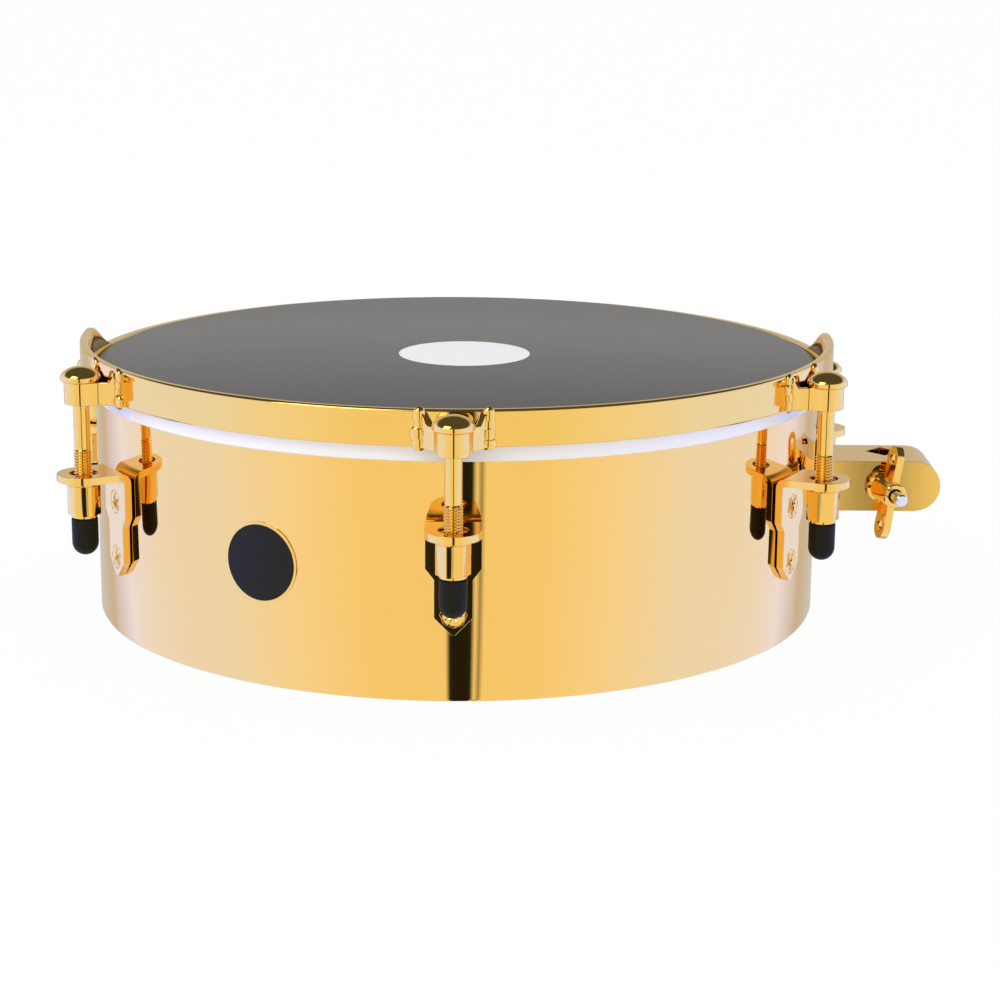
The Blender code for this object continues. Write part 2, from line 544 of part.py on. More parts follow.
def make_stud_and_wing_nut(drum):
    frame = stud_frame()
    axis = holder("stud_axis", drum)
    axis.matrix_local = frame
    eye = frame.inverted() @ Vector((PASSAGE_CENTRE[0], PASSAGE_CENTRE[1], STUD_HEIGHT))
    lying = Matrix.Translation(eye) @ Matrix.Rotation(math.pi / 2, 4, "X")
    half = EYE_THICKNESS / 2
    ring = cylinder("eye_ring", EYE_INNER_RADIUS + EYE_WALL, -half, half, lying, 24)
    shank = turned("shank", [(0, eye.z), (STUD_RADIUS - 0.0002, eye.z), (STUD_RADIUS - 0.0002, STUD_LENGTH - 0.0006),
                             (STUD_RADIUS - 0.0009, STUD_LENGTH), (0, STUD_LENGTH)], SMALL_STEPS)
    hole = cylinder("eye_hole", EYE_INNER_RADIUS, -half - 0.002, half + 0.002, lying, 24)
    piece("eye_bolt", combined("eye_bolt", ring, [("UNION", shank), ("DIFFERENCE", hole)]), STEEL, axis)

    low = WING_FLANGE_STANDOFF
    bore = STUD_RADIUS + THREAD_CLEARANCE
    sleeve = turned("sleeve", [(bore, low), (WING_FLANGE_RADIUS, low), (WING_FLANGE_RADIUS, low + WING_FLANGE_HEIGHT),
                               (BARREL_RADIUS + 0.0004, low + WING_FLANGE_HEIGHT + 0.0006),
                               (BARREL_RADIUS, low + WING_FLANGE_HEIGHT + 0.0016),
                               (BARREL_RADIUS, BARREL_END - 0.0005), (BARREL_RADIUS - 0.0005, BARREL_END),
                               (bore, BARREL_END)], 20, closed=True)
    wing_middle = (BARREL_END + low + WING_FLANGE_HEIGHT) / 2 + 0.0005
    loop_radius = WING_LENGTH / 2
    loop_centre = WING_REACH - loop_radius
    thick = WING_THICKNESS / 2
    tools = []
    for side in (1, -1):
        stand = Matrix.Rotation(math.radians(-WING_TURN_DEG), 4, "Z") @ Matrix.Rotation(math.pi / 2, 4, "Y")
        centre = (-wing_middle, side * loop_centre)
        far, near = (0, 180) if side > 0 else (180, 360)
        outline = arc(centre, loop_radius, far, near, 12)
        root = side * (BARREL_RADIUS - 0.0012)
        outline += [(-wing_middle - side * loop_radius * 0.86, root), (-wing_middle + side * loop_radius * 0.86, root)]
        tools.append(("UNION", prism("wing", outline, -thick, thick, stand)))
        tools.append(("DIFFERENCE", prism("wing_hole", arc(centre, WING_HOLE_RADIUS, 0, 337.5, 15),
                                          -thick - 0.002, thick + 0.002, stand)))
    piece("wing_nut", combined("wing_nut", sleeve, tools), GOLD, axis)


def main():
    clear_scene()
    drum = holder("drum_origin", location=(0, 0, -FACE_HEIGHT))
    places = make_lugs(drum)
    places += [(0.0, height, SCREW_SHANK_RADIUS) for height in clamp_screw_heights()]
    make_shell(drum, places)
    make_head(drum)
    make_flesh_hoop(drum)
    make_rim(drum)
    make_clamp(drum)
    make_stud_and_wing_nut(drum)


main()
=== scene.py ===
import json
import math
import random

import bmesh
import bpy
from mathutils import Matrix, Vector


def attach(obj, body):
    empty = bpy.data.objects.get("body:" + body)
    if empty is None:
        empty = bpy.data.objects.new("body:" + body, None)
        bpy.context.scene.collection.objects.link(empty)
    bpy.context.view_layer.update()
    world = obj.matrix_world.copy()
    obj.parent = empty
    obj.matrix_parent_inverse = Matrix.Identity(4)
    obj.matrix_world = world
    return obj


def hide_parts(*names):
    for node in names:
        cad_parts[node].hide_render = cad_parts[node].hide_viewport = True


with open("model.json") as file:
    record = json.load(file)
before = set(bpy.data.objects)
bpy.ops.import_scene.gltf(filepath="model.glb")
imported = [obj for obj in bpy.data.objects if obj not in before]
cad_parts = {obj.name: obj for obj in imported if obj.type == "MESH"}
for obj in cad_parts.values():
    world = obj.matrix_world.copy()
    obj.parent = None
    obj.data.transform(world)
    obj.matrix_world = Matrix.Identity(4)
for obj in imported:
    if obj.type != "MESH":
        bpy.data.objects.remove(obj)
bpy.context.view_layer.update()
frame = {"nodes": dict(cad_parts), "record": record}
nodes = frame["nodes"]
print("frame loaded with", len(nodes), "nodes")

faceHeight = 0.1119  # the playing face above the shell's base
sharpAngle = 28  # degrees; edges that bend less than this are shaded smooth
mergeReach = 1e-7  # points of a spin that are closer than this become one
firstColour, secondColour, mixedColour = 6, 7, 2  # the Mix node's sockets for colours


# World Z of a height above the shell's base
def level(height):
    return height - faceHeight


# Materials
def newMaterial(name):
    made = bpy.data.materials.new(name)
    made.use_nodes = True
    tree = made.node_tree
    return made, tree, tree.nodes["Principled BSDF"]


def addNode(tree, kind, **values):
    node = tree.nodes.new(kind)
    for key, value in values.items():
        if key in node.inputs:
            node.inputs[key].default_value = value
        else:
            setattr(node, key, value)
    return node


smearSizes = {"detail": 4.0, "grain": 0.55, "rippleScale": 22.0, "rippleDetail": 1.0, "rippleHeight": 0.0005}


# Faint handling marks: a wide soft noise for roughness and a very low ripple for the plating
def smearGroup(s):
    group = bpy.data.node_groups.new("polish smears", "ShaderNodeTree")
    for name, way in (("Scale", "INPUT"), ("Low", "INPUT"), ("High", "INPUT"),
                      ("Roughness", "OUTPUT"), ("Height", "OUTPUT")):
        group.interface.new_socket(name, in_out=way, socket_type="NodeSocketFloat")
    inside = group.nodes.new("NodeGroupInput")
    outside = group.nodes.new("NodeGroupOutput")
    place = group.nodes.new("ShaderNodeTexCoord")
    noise = addNode(group, "ShaderNodeTexNoise", Detail=s["detail"], Roughness=s["grain"])
    spread = addNode(group, "ShaderNodeMapRange")
    ripple = addNode(group, "ShaderNodeTexNoise", Scale=s["rippleScale"], Detail=s["rippleDetail"])
    group.links.new(place.outputs["Object"], noise.inputs["Vector"])
    group.links.new(place.outputs["Object"], ripple.inputs["Vector"])
    group.links.new(inside.outputs["Scale"], noise.inputs["Scale"])
    group.links.new(noise.outputs["Fac"], spread.inputs["Value"])
    group.links.new(inside.outputs["Low"], spread.inputs["To Min"])
    group.links.new(inside.outputs["High"], spread.inputs["To Max"])
    group.links.new(spread.outputs["Result"], outside.inputs["Roughness"])
    group.links.new(ripple.outputs["Fac"], outside.inputs["Height"])
    return group


smears = smearGroup(smearSizes)

# Of each finish: colour, how much of it is metal, lowest and highest roughness, and the marks' scale. Some
# have a ripple and a specular level of their own.
finishes = {
    "mirrorGold": {"colour": (0.92, 0.57, 0.13), "metallic": 1.0, "low": 0.03, "high": 0.07, "scale": 14},
    "shellGold": {"colour": (0.95, 0.575, 0.14), "metallic": 1.0, "low": 0.02, "high": 0.05, "scale": 9,
                  "ripple": 0.02},
    "blackFilm": {"colour": (0.034, 0.031, 0.027), "metallic": 0.0, "low": 0.27, "high": 0.29, "scale": 30},
    "badgeBlack": {"colour": (0.012, 0.010, 0.005), "metallic": 0.0, "low": 0.12, "high": 0.2, "scale": 60,
                   "specular": 0.15},
    "hoopAluminium": {"colour": (0.88, 0.86, 0.83), "metallic": 0.15, "low": 0.26, "high": 0.36, "scale": 60,
                      "specular": 0.3},
    "capRubber": {"colour": (0.012, 0.010, 0.005), "metallic": 0.0, "low": 0.42, "high": 0.58, "scale": 120,
                  "ripple": 0.05, "specular": 0.10},
    "boltSteel": {"colour": (0.74, 0.74, 0.75), "metallic": 1.0, "low": 0.12, "high": 0.24, "scale": 90}}
plainSpecular = 0.5


def finish(name, s):
    made, tree, shader = newMaterial(name)
    shader.inputs["Specular IOR Level"].default_value = s.get("specular", plainSpecular)
    shader.inputs["Base Color"].default_value = (*s["colour"], 1)
    shader.inputs["Metallic"].default_value = s["metallic"]
    marks = tree.nodes.new("ShaderNodeGroup")
    marks.node_tree = smears
    marks.inputs["Scale"].default_value = s["scale"]
    marks.inputs["Low"].default_value = s["low"]
    marks.inputs["High"].default_value = s["high"]
    tree.links.new(marks.outputs["Roughness"], shader.inputs["Roughness"])
    if "ripple" in s:
        dent = addNode(tree, "ShaderNodeBump", Strength=s["ripple"], Distance=smearSizes["rippleHeight"])
        tree.links.new(marks.outputs["Height"], dent.inputs["Height"])
        tree.links.new(dent.outputs["Normal"], shader.inputs["Normal"])
    return made


discSizes = {"centre": (0.003, 0.006), "radius": 0.030, "edge": 0.0002, "ink": (0.80, 0.82, 0.84)}


# A plain disc of another colour printed on the film, its centre in the frame's X and Y
def printedDisc(look, s):
    tree = look.node_tree
    shader = tree.nodes["Principled BSDF"]
    place = tree.nodes.new("ShaderNodeTexCoord")
    reach = addNode(tree, "ShaderNodeVectorMath", operation="DISTANCE")
    reach.inputs[1].default_value = (*s["centre"], 0)
    edge = addNode(tree, "ShaderNodeMapRange")
    edge.inputs["From Min"].default_value = s["radius"]
    edge.inputs["From Max"].default_value = s["radius"] + s["edge"]
    colours = addNode(tree, "ShaderNodeMix", data_type="RGBA")
    colours.inputs[firstColour].default_value = (*s["ink"], 1)
    colours.inputs[secondColour].default_value = shader.inputs["Base Color"].default_value
    tree.links.new(place.outputs["Object"], reach.inputs[0])
    tree.links.new(reach.outputs["Value"], edge.inputs["Value"])
    tree.links.new(edge.outputs["Result"], colours.inputs["Factor"])
    tree.links.new(colours.outputs[mixedColour], shader.inputs["Base Color"])


looks = {name: finish(name, values) for name, values in finishes.items()}
gold, film = looks["mirrorGold"], looks["blackFilm"]
printedDisc(film, discSizes)
slotMaterials = {"gold": gold, "film": film, "aluminium": looks["hoopAluminium"],
                 "rubber": looks["capRubber"], "steel": looks["boltSteel"]}
for entry in frame["record"]["subparts"]:
    slots = nodes[entry["node"]].data.materials
    slots.clear()
    slots.append(slotMaterials[entry["material_slot"]])
print("materials placed")


# Making and placing meshes

# Spins a profile of (radius, height) points about Z, then moves what it made
def addTurned(bm, profile, steps, closed=False, place=None):
    before = set(bm.verts)
    points = [bm.verts.new((radius, 0, height)) for radius, height in profile]
    edges = [bm.edges.new(pair) for pair in zip(points, points[1:])]
    if closed:
        edges.append(bm.edges.new((points[-1], points[0])))
    bmesh.ops.spin(bm, geom=points + edges, cent=(0, 0, 0), axis=(0, 0, 1), angle=math.tau, steps=steps,
                   use_merge=True)
    made = [vertex for vertex in bm.verts if vertex not in before]
    bmesh.ops.remove_doubles(bm, verts=made, dist=mergeReach)
    if place:
        made = [vertex for vertex in bm.verts if vertex not in before]
        bmesh.ops.transform(bm, matrix=place, verts=made)


# A spun piece whose profile's heights are above the shell's base
def turnedMesh(profile, steps, closed=True):
    bm = bmesh.new()
    addTurned(bm, [(radius, level(height)) for radius, height in profile], steps, closed=closed)
    return bm


def addPrism(bm, outline, low, high, place=None):
    face = bm.faces.new([bm.verts.new((x, y, low)) for x, y in outline])
    made = bmesh.ops.extrude_face_region(bm, geom=[face])
    top = [item for item in made["geom"] if isinstance(item, bmesh.types.BMVert)]
    bmesh.ops.translate(bm, verts=top, vec=(0, 0, high - low))
    if place:
        bmesh.ops.transform(bm, matrix=place, verts=list(face.verts) + top)


def finishedMesh(bm, name, look, sharpDegrees=sharpAngle):
    bmesh.ops.recalc_face_normals(bm, faces=bm.faces)
    mesh = bpy.data.meshes.new(name)
    bm.to_mesh(mesh)
    bm.free()
    mesh.shade_smooth()
    mesh.set_sharp_from_angle(angle=math.radians(sharpDegrees))
    mesh.materials.append(look)
    return mesh


def addPiece(name, mesh, slot, body, *replaced):
    piece = bpy.data.objects.new(name, mesh)
    bpy.context.scene.collection.objects.link(piece)
    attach(piece, body)
    if replaced:
        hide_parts(*replaced)
    return piece


def makePiece(bm, name, look, slot, body, *replaced, sharpDegrees=sharpAngle):
    return addPiece(name, finishedMesh(bm, name, look, sharpDegrees), slot, body, *replaced)


def smoothStep(value, start, end):
    share = min(max((value - start) / (end - start), 0.0), 1.0)
    return share * share * (3 - 2 * share)


softenSizes = {"merge": 1e-6, "flatDegrees": 0.5, "sharpDegrees": 30, "bevelDegrees": 35}


# A merged copy of a CAD piece whose edges carry the small radius that polishing leaves
def softened(name, node, body, slot, width, segments=2):
    s = softenSizes
    bm = bmesh.new()
    bm.from_mesh(nodes[node].data)
    bmesh.ops.remove_doubles(bm, verts=bm.verts, dist=s["merge"])
    bmesh.ops.dissolve_limit(bm, angle_limit=math.radians(s["flatDegrees"]), verts=bm.verts, edges=bm.edges)
    mesh = finishedMesh(bm, name, slotMaterials[slot], s["sharpDegrees"])
    for layer in [item for item in mesh.attributes if item.name == "custom_normal"]:
        mesh.attributes.remove(layer)
    piece = addPiece(name, mesh, slot, body, node)
    bevel = piece.modifiers.new("polished edges", "BEVEL")
    bevel.width = width
    bevel.segments = segments
    bevel.limit_method = "ANGLE"
    bevel.angle_limit = math.radians(s["bevelDegrees"])
    bevel.harden_normals = True


# Shell, head, hoop and rim: radii from the drum's axis, heights above the shell's base
shellSizes = {"radius": 0.1645, "wall": 0.0015, "top": 0.1110, "lip": 0.009, "crest": 0.1615,
              "shoulder": 0.1072, "hem": 0.0012, "hemRound": 0.3, "slope": 0.0020, "crestDrop": 0.0006,
              "crestWidth": 0.0010, "throatIn": 0.0006, "throatDrop": 0.0019, "throatFoot": 0.0010,
              "steps": 360}
headSizes = {"film": 0.0005, "fold": 0.1615,
             "foldRound": ((0.0009, 0.0002), (0.0017, 0.0006), (0.0035, 0.0029)),
             "skirt": 0.1663, "skirtFoot": 0.1079, "skirtHem": 0.0005, "skirtWall": 0.0014,
             "innerFold": (0.0014, 0.0007), "steps": 240}
hoopSizes = {"outer": 0.1664, "inner": 0.1649, "low": 0.1008, "high": 0.1076, "edge": 0.0004, "steps": 360}
rimSizes = {"radius": 0.17075, "wall": 0.00385, "top": 0.1229, "bottom": 0.1077, "backTop": 0.1105,
            "backBottom": 0.0880, "footLow": 0.1089, "footHigh": 0.1102, "footWidth": 0.0010, "edge": 0.0013,
            "hem": 0.0005, "footClear": 0.0003, "backRound": 0.9, "roundSteps": 4,
            "topStep": (1.0, 12.5), "bottomStep": (3.0, 14.0), "steps": 480}


def makeShell(s):
    radius, top, crest, inner = s["radius"], s["top"], s["crest"], s["radius"] - s["wall"]
    profile = [(radius - s["hem"], 0), (radius - s["hem"] * s["hemRound"], s["hem"] * s["hemRound"]),
               (radius, s["hem"]), (radius, s["shoulder"]), (radius - s["slope"], top - s["crestDrop"]),
               (crest, top), (crest - s["crestWidth"], top - s["crestDrop"]),
               (crest - s["throatIn"], top - s["throatDrop"]), (inner, s["shoulder"] - s["throatFoot"]),
               (inner, s["wall"]), (radius - s["lip"], s["wall"]), (radius - s["lip"], 0)]
    makePiece(turnedMesh(profile, s["steps"]), "shellSkin", looks["shellGold"], "gold", "drum", "shell")


def makeHead(s):
    top, under, fold, skirt, foot = faceHeight, faceHeight - s["film"], s["fold"], s["skirt"], s["skirtFoot"]
    inward, down = s["innerFold"]
    profile = [(0, top), (fold, top)] + [(fold + out, top - drop) for out, drop in s["foldRound"]]
    profile += [(skirt, foot + s["skirtHem"]), (skirt, foot), (skirt - s["skirtWall"], foot),
                (fold + inward, under - down), (fold, under), (0, under)]
    makePiece(turnedMesh(profile, s["steps"], closed=False), "filmHead", film, "film", "drum", "head")


def makeHoop(s):
    profile = [(s["outer"], s["low"] + s["edge"]), (s["outer"], s["high"]), (s["inner"], s["high"]),
               (s["inner"], s["low"]), (s["outer"] - s["edge"], s["low"])]
    makePiece(turnedMesh(profile, s["steps"]), "hoopBand", looks["hoopAluminium"], "aluminium", "drum",
              "flesh_hoop")


# A standing band that steps down behind the left-right axis, with a small foot inside it
def makeRim(s):
    inner, edge, high = s["radius"] - s["wall"], s["edge"], s["top"]
    turns = [math.pi / 2 / s["roundSteps"] * step for step in range(s["roundSteps"] + 1)]
    nearRound = [(s["radius"] - edge * (1 - math.cos(turn)), high - edge * (1 - math.sin(turn)))
                 for turn in turns]
    farRound = [(inner + edge * (1 - math.sin(turn)), high - edge * (1 - math.cos(turn))) for turn in turns]
    profile = [(s["radius"], s["bottom"] + s["hem"])] + nearRound + farRound
    profile += [(inner, s["footHigh"]), (inner - s["footWidth"], s["footHigh"]),
                (inner - s["footWidth"], s["footLow"]), (inner, s["footLow"]), (inner, s["bottom"]),
                (s["radius"] - s["hem"], s["bottom"])]
    bm = bmesh.new()
    addTurned(bm, profile, s["steps"], closed=True)
    for vertex in bm.verts:
        behind = math.degrees(math.atan2(vertex.co.y, abs(vertex.co.x)))
        if vertex.co.z > s["footHigh"] + edge:
            low = smoothStep(behind, *s["topStep"])
            fromTop = high - vertex.co.z
            room = s["backTop"] - s["footHigh"]
            squeeze = 1 - low * (1 - room / edge * s["backRound"])
            vertex.co.z = high - low * (high - s["backTop"]) - fromTop * squeeze
        elif vertex.co.z < s["footLow"] - s["footClear"]:
            vertex.co.z -= smoothStep(behind, *s["bottomStep"]) * (s["bottom"] - s["backBottom"])
        vertex.co.z = level(vertex.co.z)
    makePiece(bm, "rimBand", gold, "gold", "hoop", "rim")


makeShell(shellSizes)
makeHead(headSizes)
makeHoop(hoopSizes)
makeRim(rimSizes)
print("shell, head, hoop and rim made")

# Lugs
lugSizes = {"circle": 0.182, "strapTop": 0.1170, "shelfTop": 0.0770, "plate": 0.0032, "gap": 0.0003,
            "backEarDrop": 0.022, "backBracketDrop": 0.0085, "screwDrops": (0.0143, 0.0390),
            "plateFace": 0.1680, "screwSunk": 0.0001, "softEdge": 0.0004, "seed": 11,
            "azimuths": {"front_left": -150.5, "front_centre": -89.5, "front_right": -29.5,
                         "back_right": 16.5, "back_centre": 90.0, "back_left": 163.5}}
rodSizes = {"domeRadius": 0.0086, "domeEdge": 0.0014, "domeRise": 0.0047, "domeCurve": 1.2, "domeRows": 12,
            "domeLip": 0.0002, "seatEdge": 0.0004, "shank": 0.00355, "crest": 0.00395, "root": 0.00332,
            "pitch": 0.00125, "steepness": 1.25, "endDepth": 0.2, "plain": 0.0293, "belowNut": 0.0105,
            "around": 36, "perPitch": 8}
nutSizes = {"bore": 0.0043, "collar": 0.0080, "collarHeight": 0.0016, "collarSide": 0.6, "height": 0.0160,
            "flats": 0.0125, "hexEdge": 0.0004, "neck": 0.0056, "neckHeight": 0.0012, "neckOverlap": 0.0004,
            "edge": 0.0003, "turn": 0.62, "around": 48}
capSizes = {"radius": 0.0057, "length": 0.0163, "bore": 0.0043, "boreDepth": 0.0128, "edge": 0.0003,
            "endRows": 12, "around": 48}
screwSizes = {"head": 0.0052, "depth": 0.0026, "edge": 0.0002, "shank": 0.0021, "wallInside": 0.0050,
              "gap": 0.0003, "nut": 0.0045, "nutHeight": 0.0030, "around": 40, "recessLength": 0.0042,
              "recessWidth": 0.0009, "recessDepth": 0.0013, "recessTurn": 0.4, "recessAbove": 0.001}
weldSizes = {"face": 0.1707, "earHalf": 0.0133, "spacing": 0.0040, "least": 3, "sunk": 0.0004, "out": 0.0004,
             "wander": 0.0004, "lump": (0.0019, 0.0026, 0.0034),
             "vary": ((-0.0003, 0.0003), (-0.0006, 0.0012), (-0.0004, 0.0006)),
             "frontRoot": (0.1077, 0.1222), "backRoot": (0.0884, 0.1052), "rounds": 3, "sharpDegrees": 60}


# Domed head, plain shank, then a rolled thread: one spiral ridge of the pitch
def makeRod(s, name, place, seat, end):
    bm = bmesh.new()
    turns = [math.pi / 2 * step / s["domeRows"] for step in range(s["domeRows"])]
    profile = [(s["domeRadius"] * math.sin(turn),
                seat + s["domeEdge"] + s["domeRise"] * math.cos(turn) ** s["domeCurve"]) for turn in turns]
    threadTop = seat - s["plain"]
    profile += [(s["domeRadius"], seat + s["domeEdge"] - s["domeLip"]),
                (s["domeRadius"], seat + s["seatEdge"]), (s["domeRadius"] - s["seatEdge"], seat),
                (s["shank"], seat), (s["shank"], threadTop), (0, threadTop)]
    addTurned(bm, profile, s["around"], place=place)
    rows = int((threadTop - end) / s["pitch"] * s["perPitch"])
    rings = []
    for row in range(rows + 1):
        height = threadTop - row * s["pitch"] / s["perPitch"]
        fade = min(1.0, row / s["perPitch"], (rows - row) / s["perPitch"] + s["endDepth"])
        ring = []
        for step in range(s["around"]):
            turn = math.tau * step / s["around"]
            phase = (height / s["pitch"] - turn / math.tau) % 1.0
            ridge = 1 - abs(phase * 2 - 1)
            radius = s["root"] + (s["crest"] - s["root"]) * min(1.0, ridge * s["steepness"]) * fade
            point = Vector((radius * math.cos(turn), radius * math.sin(turn), height))
            ring.append(bm.verts.new(place @ point))
        rings.append(ring)
    for upper, lower in zip(rings, rings[1:]):
        for step in range(s["around"]):
            after = (step + 1) % s["around"]
            bm.faces.new((upper[step], upper[after], lower[after], lower[step]))
    bm.faces.new(rings[0])
    bm.faces.new(rings[-1])
    makePiece(bm, "rod_" + name, gold, "gold", "hoop", "tension_rod_" + name)


# A collar, a hexagon with softened edges and a short neck below it
def makeNut(s, name, place, seat):
    bm = bmesh.new()
    foot, hexLow, hexTop = seat - s["height"], seat - s["height"] + s["neckHeight"], seat - s["collarHeight"]
    side = seat - s["collarHeight"] * s["collarSide"]
    corner = s["flats"] / 2 / math.cos(math.pi / 6)
    addTurned(bm, [(s["bore"], seat), (s["collar"] - s["edge"], seat), (s["collar"], seat - s["edge"]),
                   (s["collar"], side), (corner, hexTop), (s["bore"], hexTop)],
              s["around"], closed=True, place=place)
    turns = [math.pi / 3 * step + s["turn"] for step in range(6)]
    before = set(bm.verts)
    addPrism(bm, [(corner * math.cos(turn), corner * math.sin(turn)) for turn in turns], hexLow, side)
    made = [edge for edge in bm.edges if edge.verts[0] not in before and edge.verts[1] not in before]
    bmesh.ops.bevel(bm, geom=made, offset=s["hexEdge"], segments=2, profile=0.5, affect="EDGES", material=-1)
    bmesh.ops.transform(bm, matrix=place, verts=[vertex for vertex in bm.verts if vertex not in before])
    addTurned(bm, [(s["neck"], hexLow + s["neckOverlap"]), (s["neck"], foot + s["edge"]),
                   (s["neck"] - s["edge"], foot), (s["bore"], foot), (s["bore"], hexLow + s["neckOverlap"])],
              s["around"], closed=True, place=place)
    makePiece(bm, "nut_" + name, gold, "gold", "nut_" + name, "tension_nut_" + name)


# A rubber cap over the rod's end, open at its mouth and round below
def makeCap(s, name, place, mouth):
    bm = bmesh.new()
    straight = s["length"] - s["radius"]
    turns = [math.pi / 2 * step / s["endRows"] for step in range(s["endRows"])]
    profile = [(0, mouth - s["boreDepth"]), (s["bore"], mouth - s["boreDepth"]), (s["bore"], mouth),
               (s["radius"] - s["edge"], mouth), (s["radius"], mouth - s["edge"])]
    profile += [(s["radius"] * math.cos(turn), mouth - straight - s["radius"] * math.sin(turn))
                for turn in turns]
    profile += [(0, mouth - s["length"])]
    addTurned(bm, profile, s["around"], place=place)
    makePiece(bm, "cap_" + name, looks["capRubber"], "rubber", "nut_" + name, "rod_cap_" + name)


# One screw along Z with its cross recess, the head's face at Z 0
def carvedScrew(s):
    bm = bmesh.new()
    near = -s["wallInside"] - s["gap"]
    addTurned(bm, [(0, 0), (s["head"] - s["edge"], 0), (s["head"], -s["edge"]), (s["shank"], -s["depth"]),
                   (s["shank"], near), (s["nut"], near), (s["nut"], near - s["nutHeight"]),
                   (0, near - s["nutHeight"])], s["around"])
    blank = bpy.data.objects.new("screwBlank", finishedMesh(bm, "screwBlank", gold))
    cutters = []
    for turn in (0.0, math.pi / 2):
        bm = bmesh.new()
        long, wide = s["recessLength"] / 2, s["recessWidth"] / 2
        addPrism(bm, [(-long, -wide), (long, -wide), (long, wide), (-long, wide)], -s["recessDepth"],
                 s["recessAbove"], Matrix.Rotation(turn + s["recessTurn"], 4, "Z"))
        cutters.append(bpy.data.objects.new("recess", finishedMesh(bm, "recess", gold)))
    for helper in [blank] + cutters:
        bpy.context.scene.collection.objects.link(helper)
    for cutter in cutters:
        cut = blank.modifiers.new("recess", "BOOLEAN")
        cut.operation = "DIFFERENCE"
        cut.solver = "EXACT"
        cut.object = cutter
    carved = bpy.data.meshes.new_from_object(blank.evaluated_get(bpy.context.evaluated_depsgraph_get()))
    for helper in [blank] + cutters:
        bpy.data.objects.remove(helper, do_unlink=True)
    return carved


# Lumps of weld run down both sides of an ear's root
def makeWeld(s, name, turned, root, draws):
    bm = bmesh.new()
    low, high = root
    count = max(s["least"], round((high - low) / s["spacing"]))
    for side in (-1, 1):
        for step in range(count):
            height = low + (high - low) * (step + 0.5) / count
            lump = [size + draws.uniform(*span) for size, span in zip(s["lump"], s["vary"])]
            beside = side * (s["earHalf"] + s["out"] + draws.uniform(-s["wander"], s["wander"]))
            spot = Vector((s["face"] - s["sunk"], beside, level(height)))
            shape = turned @ Matrix.Translation(spot) @ Matrix.Diagonal((*lump, 1))
            bmesh.ops.create_icosphere(bm, subdivisions=s["rounds"], radius=1.0, matrix=shape)
    makePiece(bm, "weld_" + name, gold, "gold", "hoop", sharpDegrees=s["sharpDegrees"])


def makeLugs(s):
    draws = random.Random(s["seed"])
    screw = carvedScrew(screwSizes)
    for name, azimuth in s["azimuths"].items():
        back = name.startswith("back")
        earDrop = s["backEarDrop"] if back else 0.0
        shelf = s["shelfTop"] - (s["backBracketDrop"] if back else 0.0)
        turned = Matrix.Rotation(math.radians(azimuth), 4, "Z")
        rodAxis = turned @ Matrix.Translation((s["circle"], 0, level(0)))
        seat = s["strapTop"] - earDrop + s["gap"]
        nutSeat = shelf - s["plate"] - s["gap"]
        capMouth = nutSeat - nutSizes["height"] - s["gap"]
        makeRod(rodSizes, name, rodAxis, seat, capMouth - rodSizes["belowNut"])
        makeNut(nutSizes, name, rodAxis, nutSeat)
        makeCap(capSizes, name, rodAxis, capMouth)
        softened("ear_" + name, "rim_ear_" + name, "hoop", "gold", s["softEdge"])
        softened("bracket_" + name, "lug_bracket_" + name, "drum", "gold", s["softEdge"])
        for label, drop in zip(("upper", "lower"), s["screwDrops"]):
            face = Matrix.Translation((s["plateFace"] - s["screwSunk"], 0, level(shelf - drop)))
            mesh = screw.copy()
            mesh.transform(turned @ face @ Matrix.Rotation(math.pi / 2, 4, "Y"))
            addPiece(f"screw_{name}_{label}", mesh, "gold", "drum", f"bracket_screw_{name}_{label}")
        makeWeld(weldSizes, name, turned, weldSizes["backRoot" if back else "frontRoot"], draws)


makeLugs(lugSizes)
print("lugs made")

# Clamp, eye bolt and wing nut: the widths of their polished edges
clampEdges = {"block": 0.0006, "blockSegments": 3, "nut": 0.0004, "bolt": 0.0003, "screw": 0.0002}
softened("clampBlock", "clamp_body", "drum", "gold", clampEdges["block"], clampEdges["blockSegments"])
softened("wingNut", "wing_nut", "wing_nut", "gold", clampEdges["nut"])
softened("eyeBolt", "eye_bolt", "eye_bolt", "steel", clampEdges["bolt"])
softened("clampScrewUpper", "clamp_screw_upper", "drum", "gold", clampEdges["screw"])
softened("clampScrewLower", "clamp_screw_lower", "drum", "gold", clampEdges["screw"])
print("clamp softened")

# Badge: a bare domed disc in a thin ring, curved with the shell. The crown gives shares of reach and lift.
badgeSizes = {"azimuth": -118.3, "height": 0.053, "radius": 0.0172, "ring": 0.0011, "edge": 0.0002,
              "lift": 0.0005, "foot": 0.00005, "side": 0.8, "crown": ((0.75, 1.1), (0.4, 1.3), (0.1, 1.35)),
              "steps": 72}


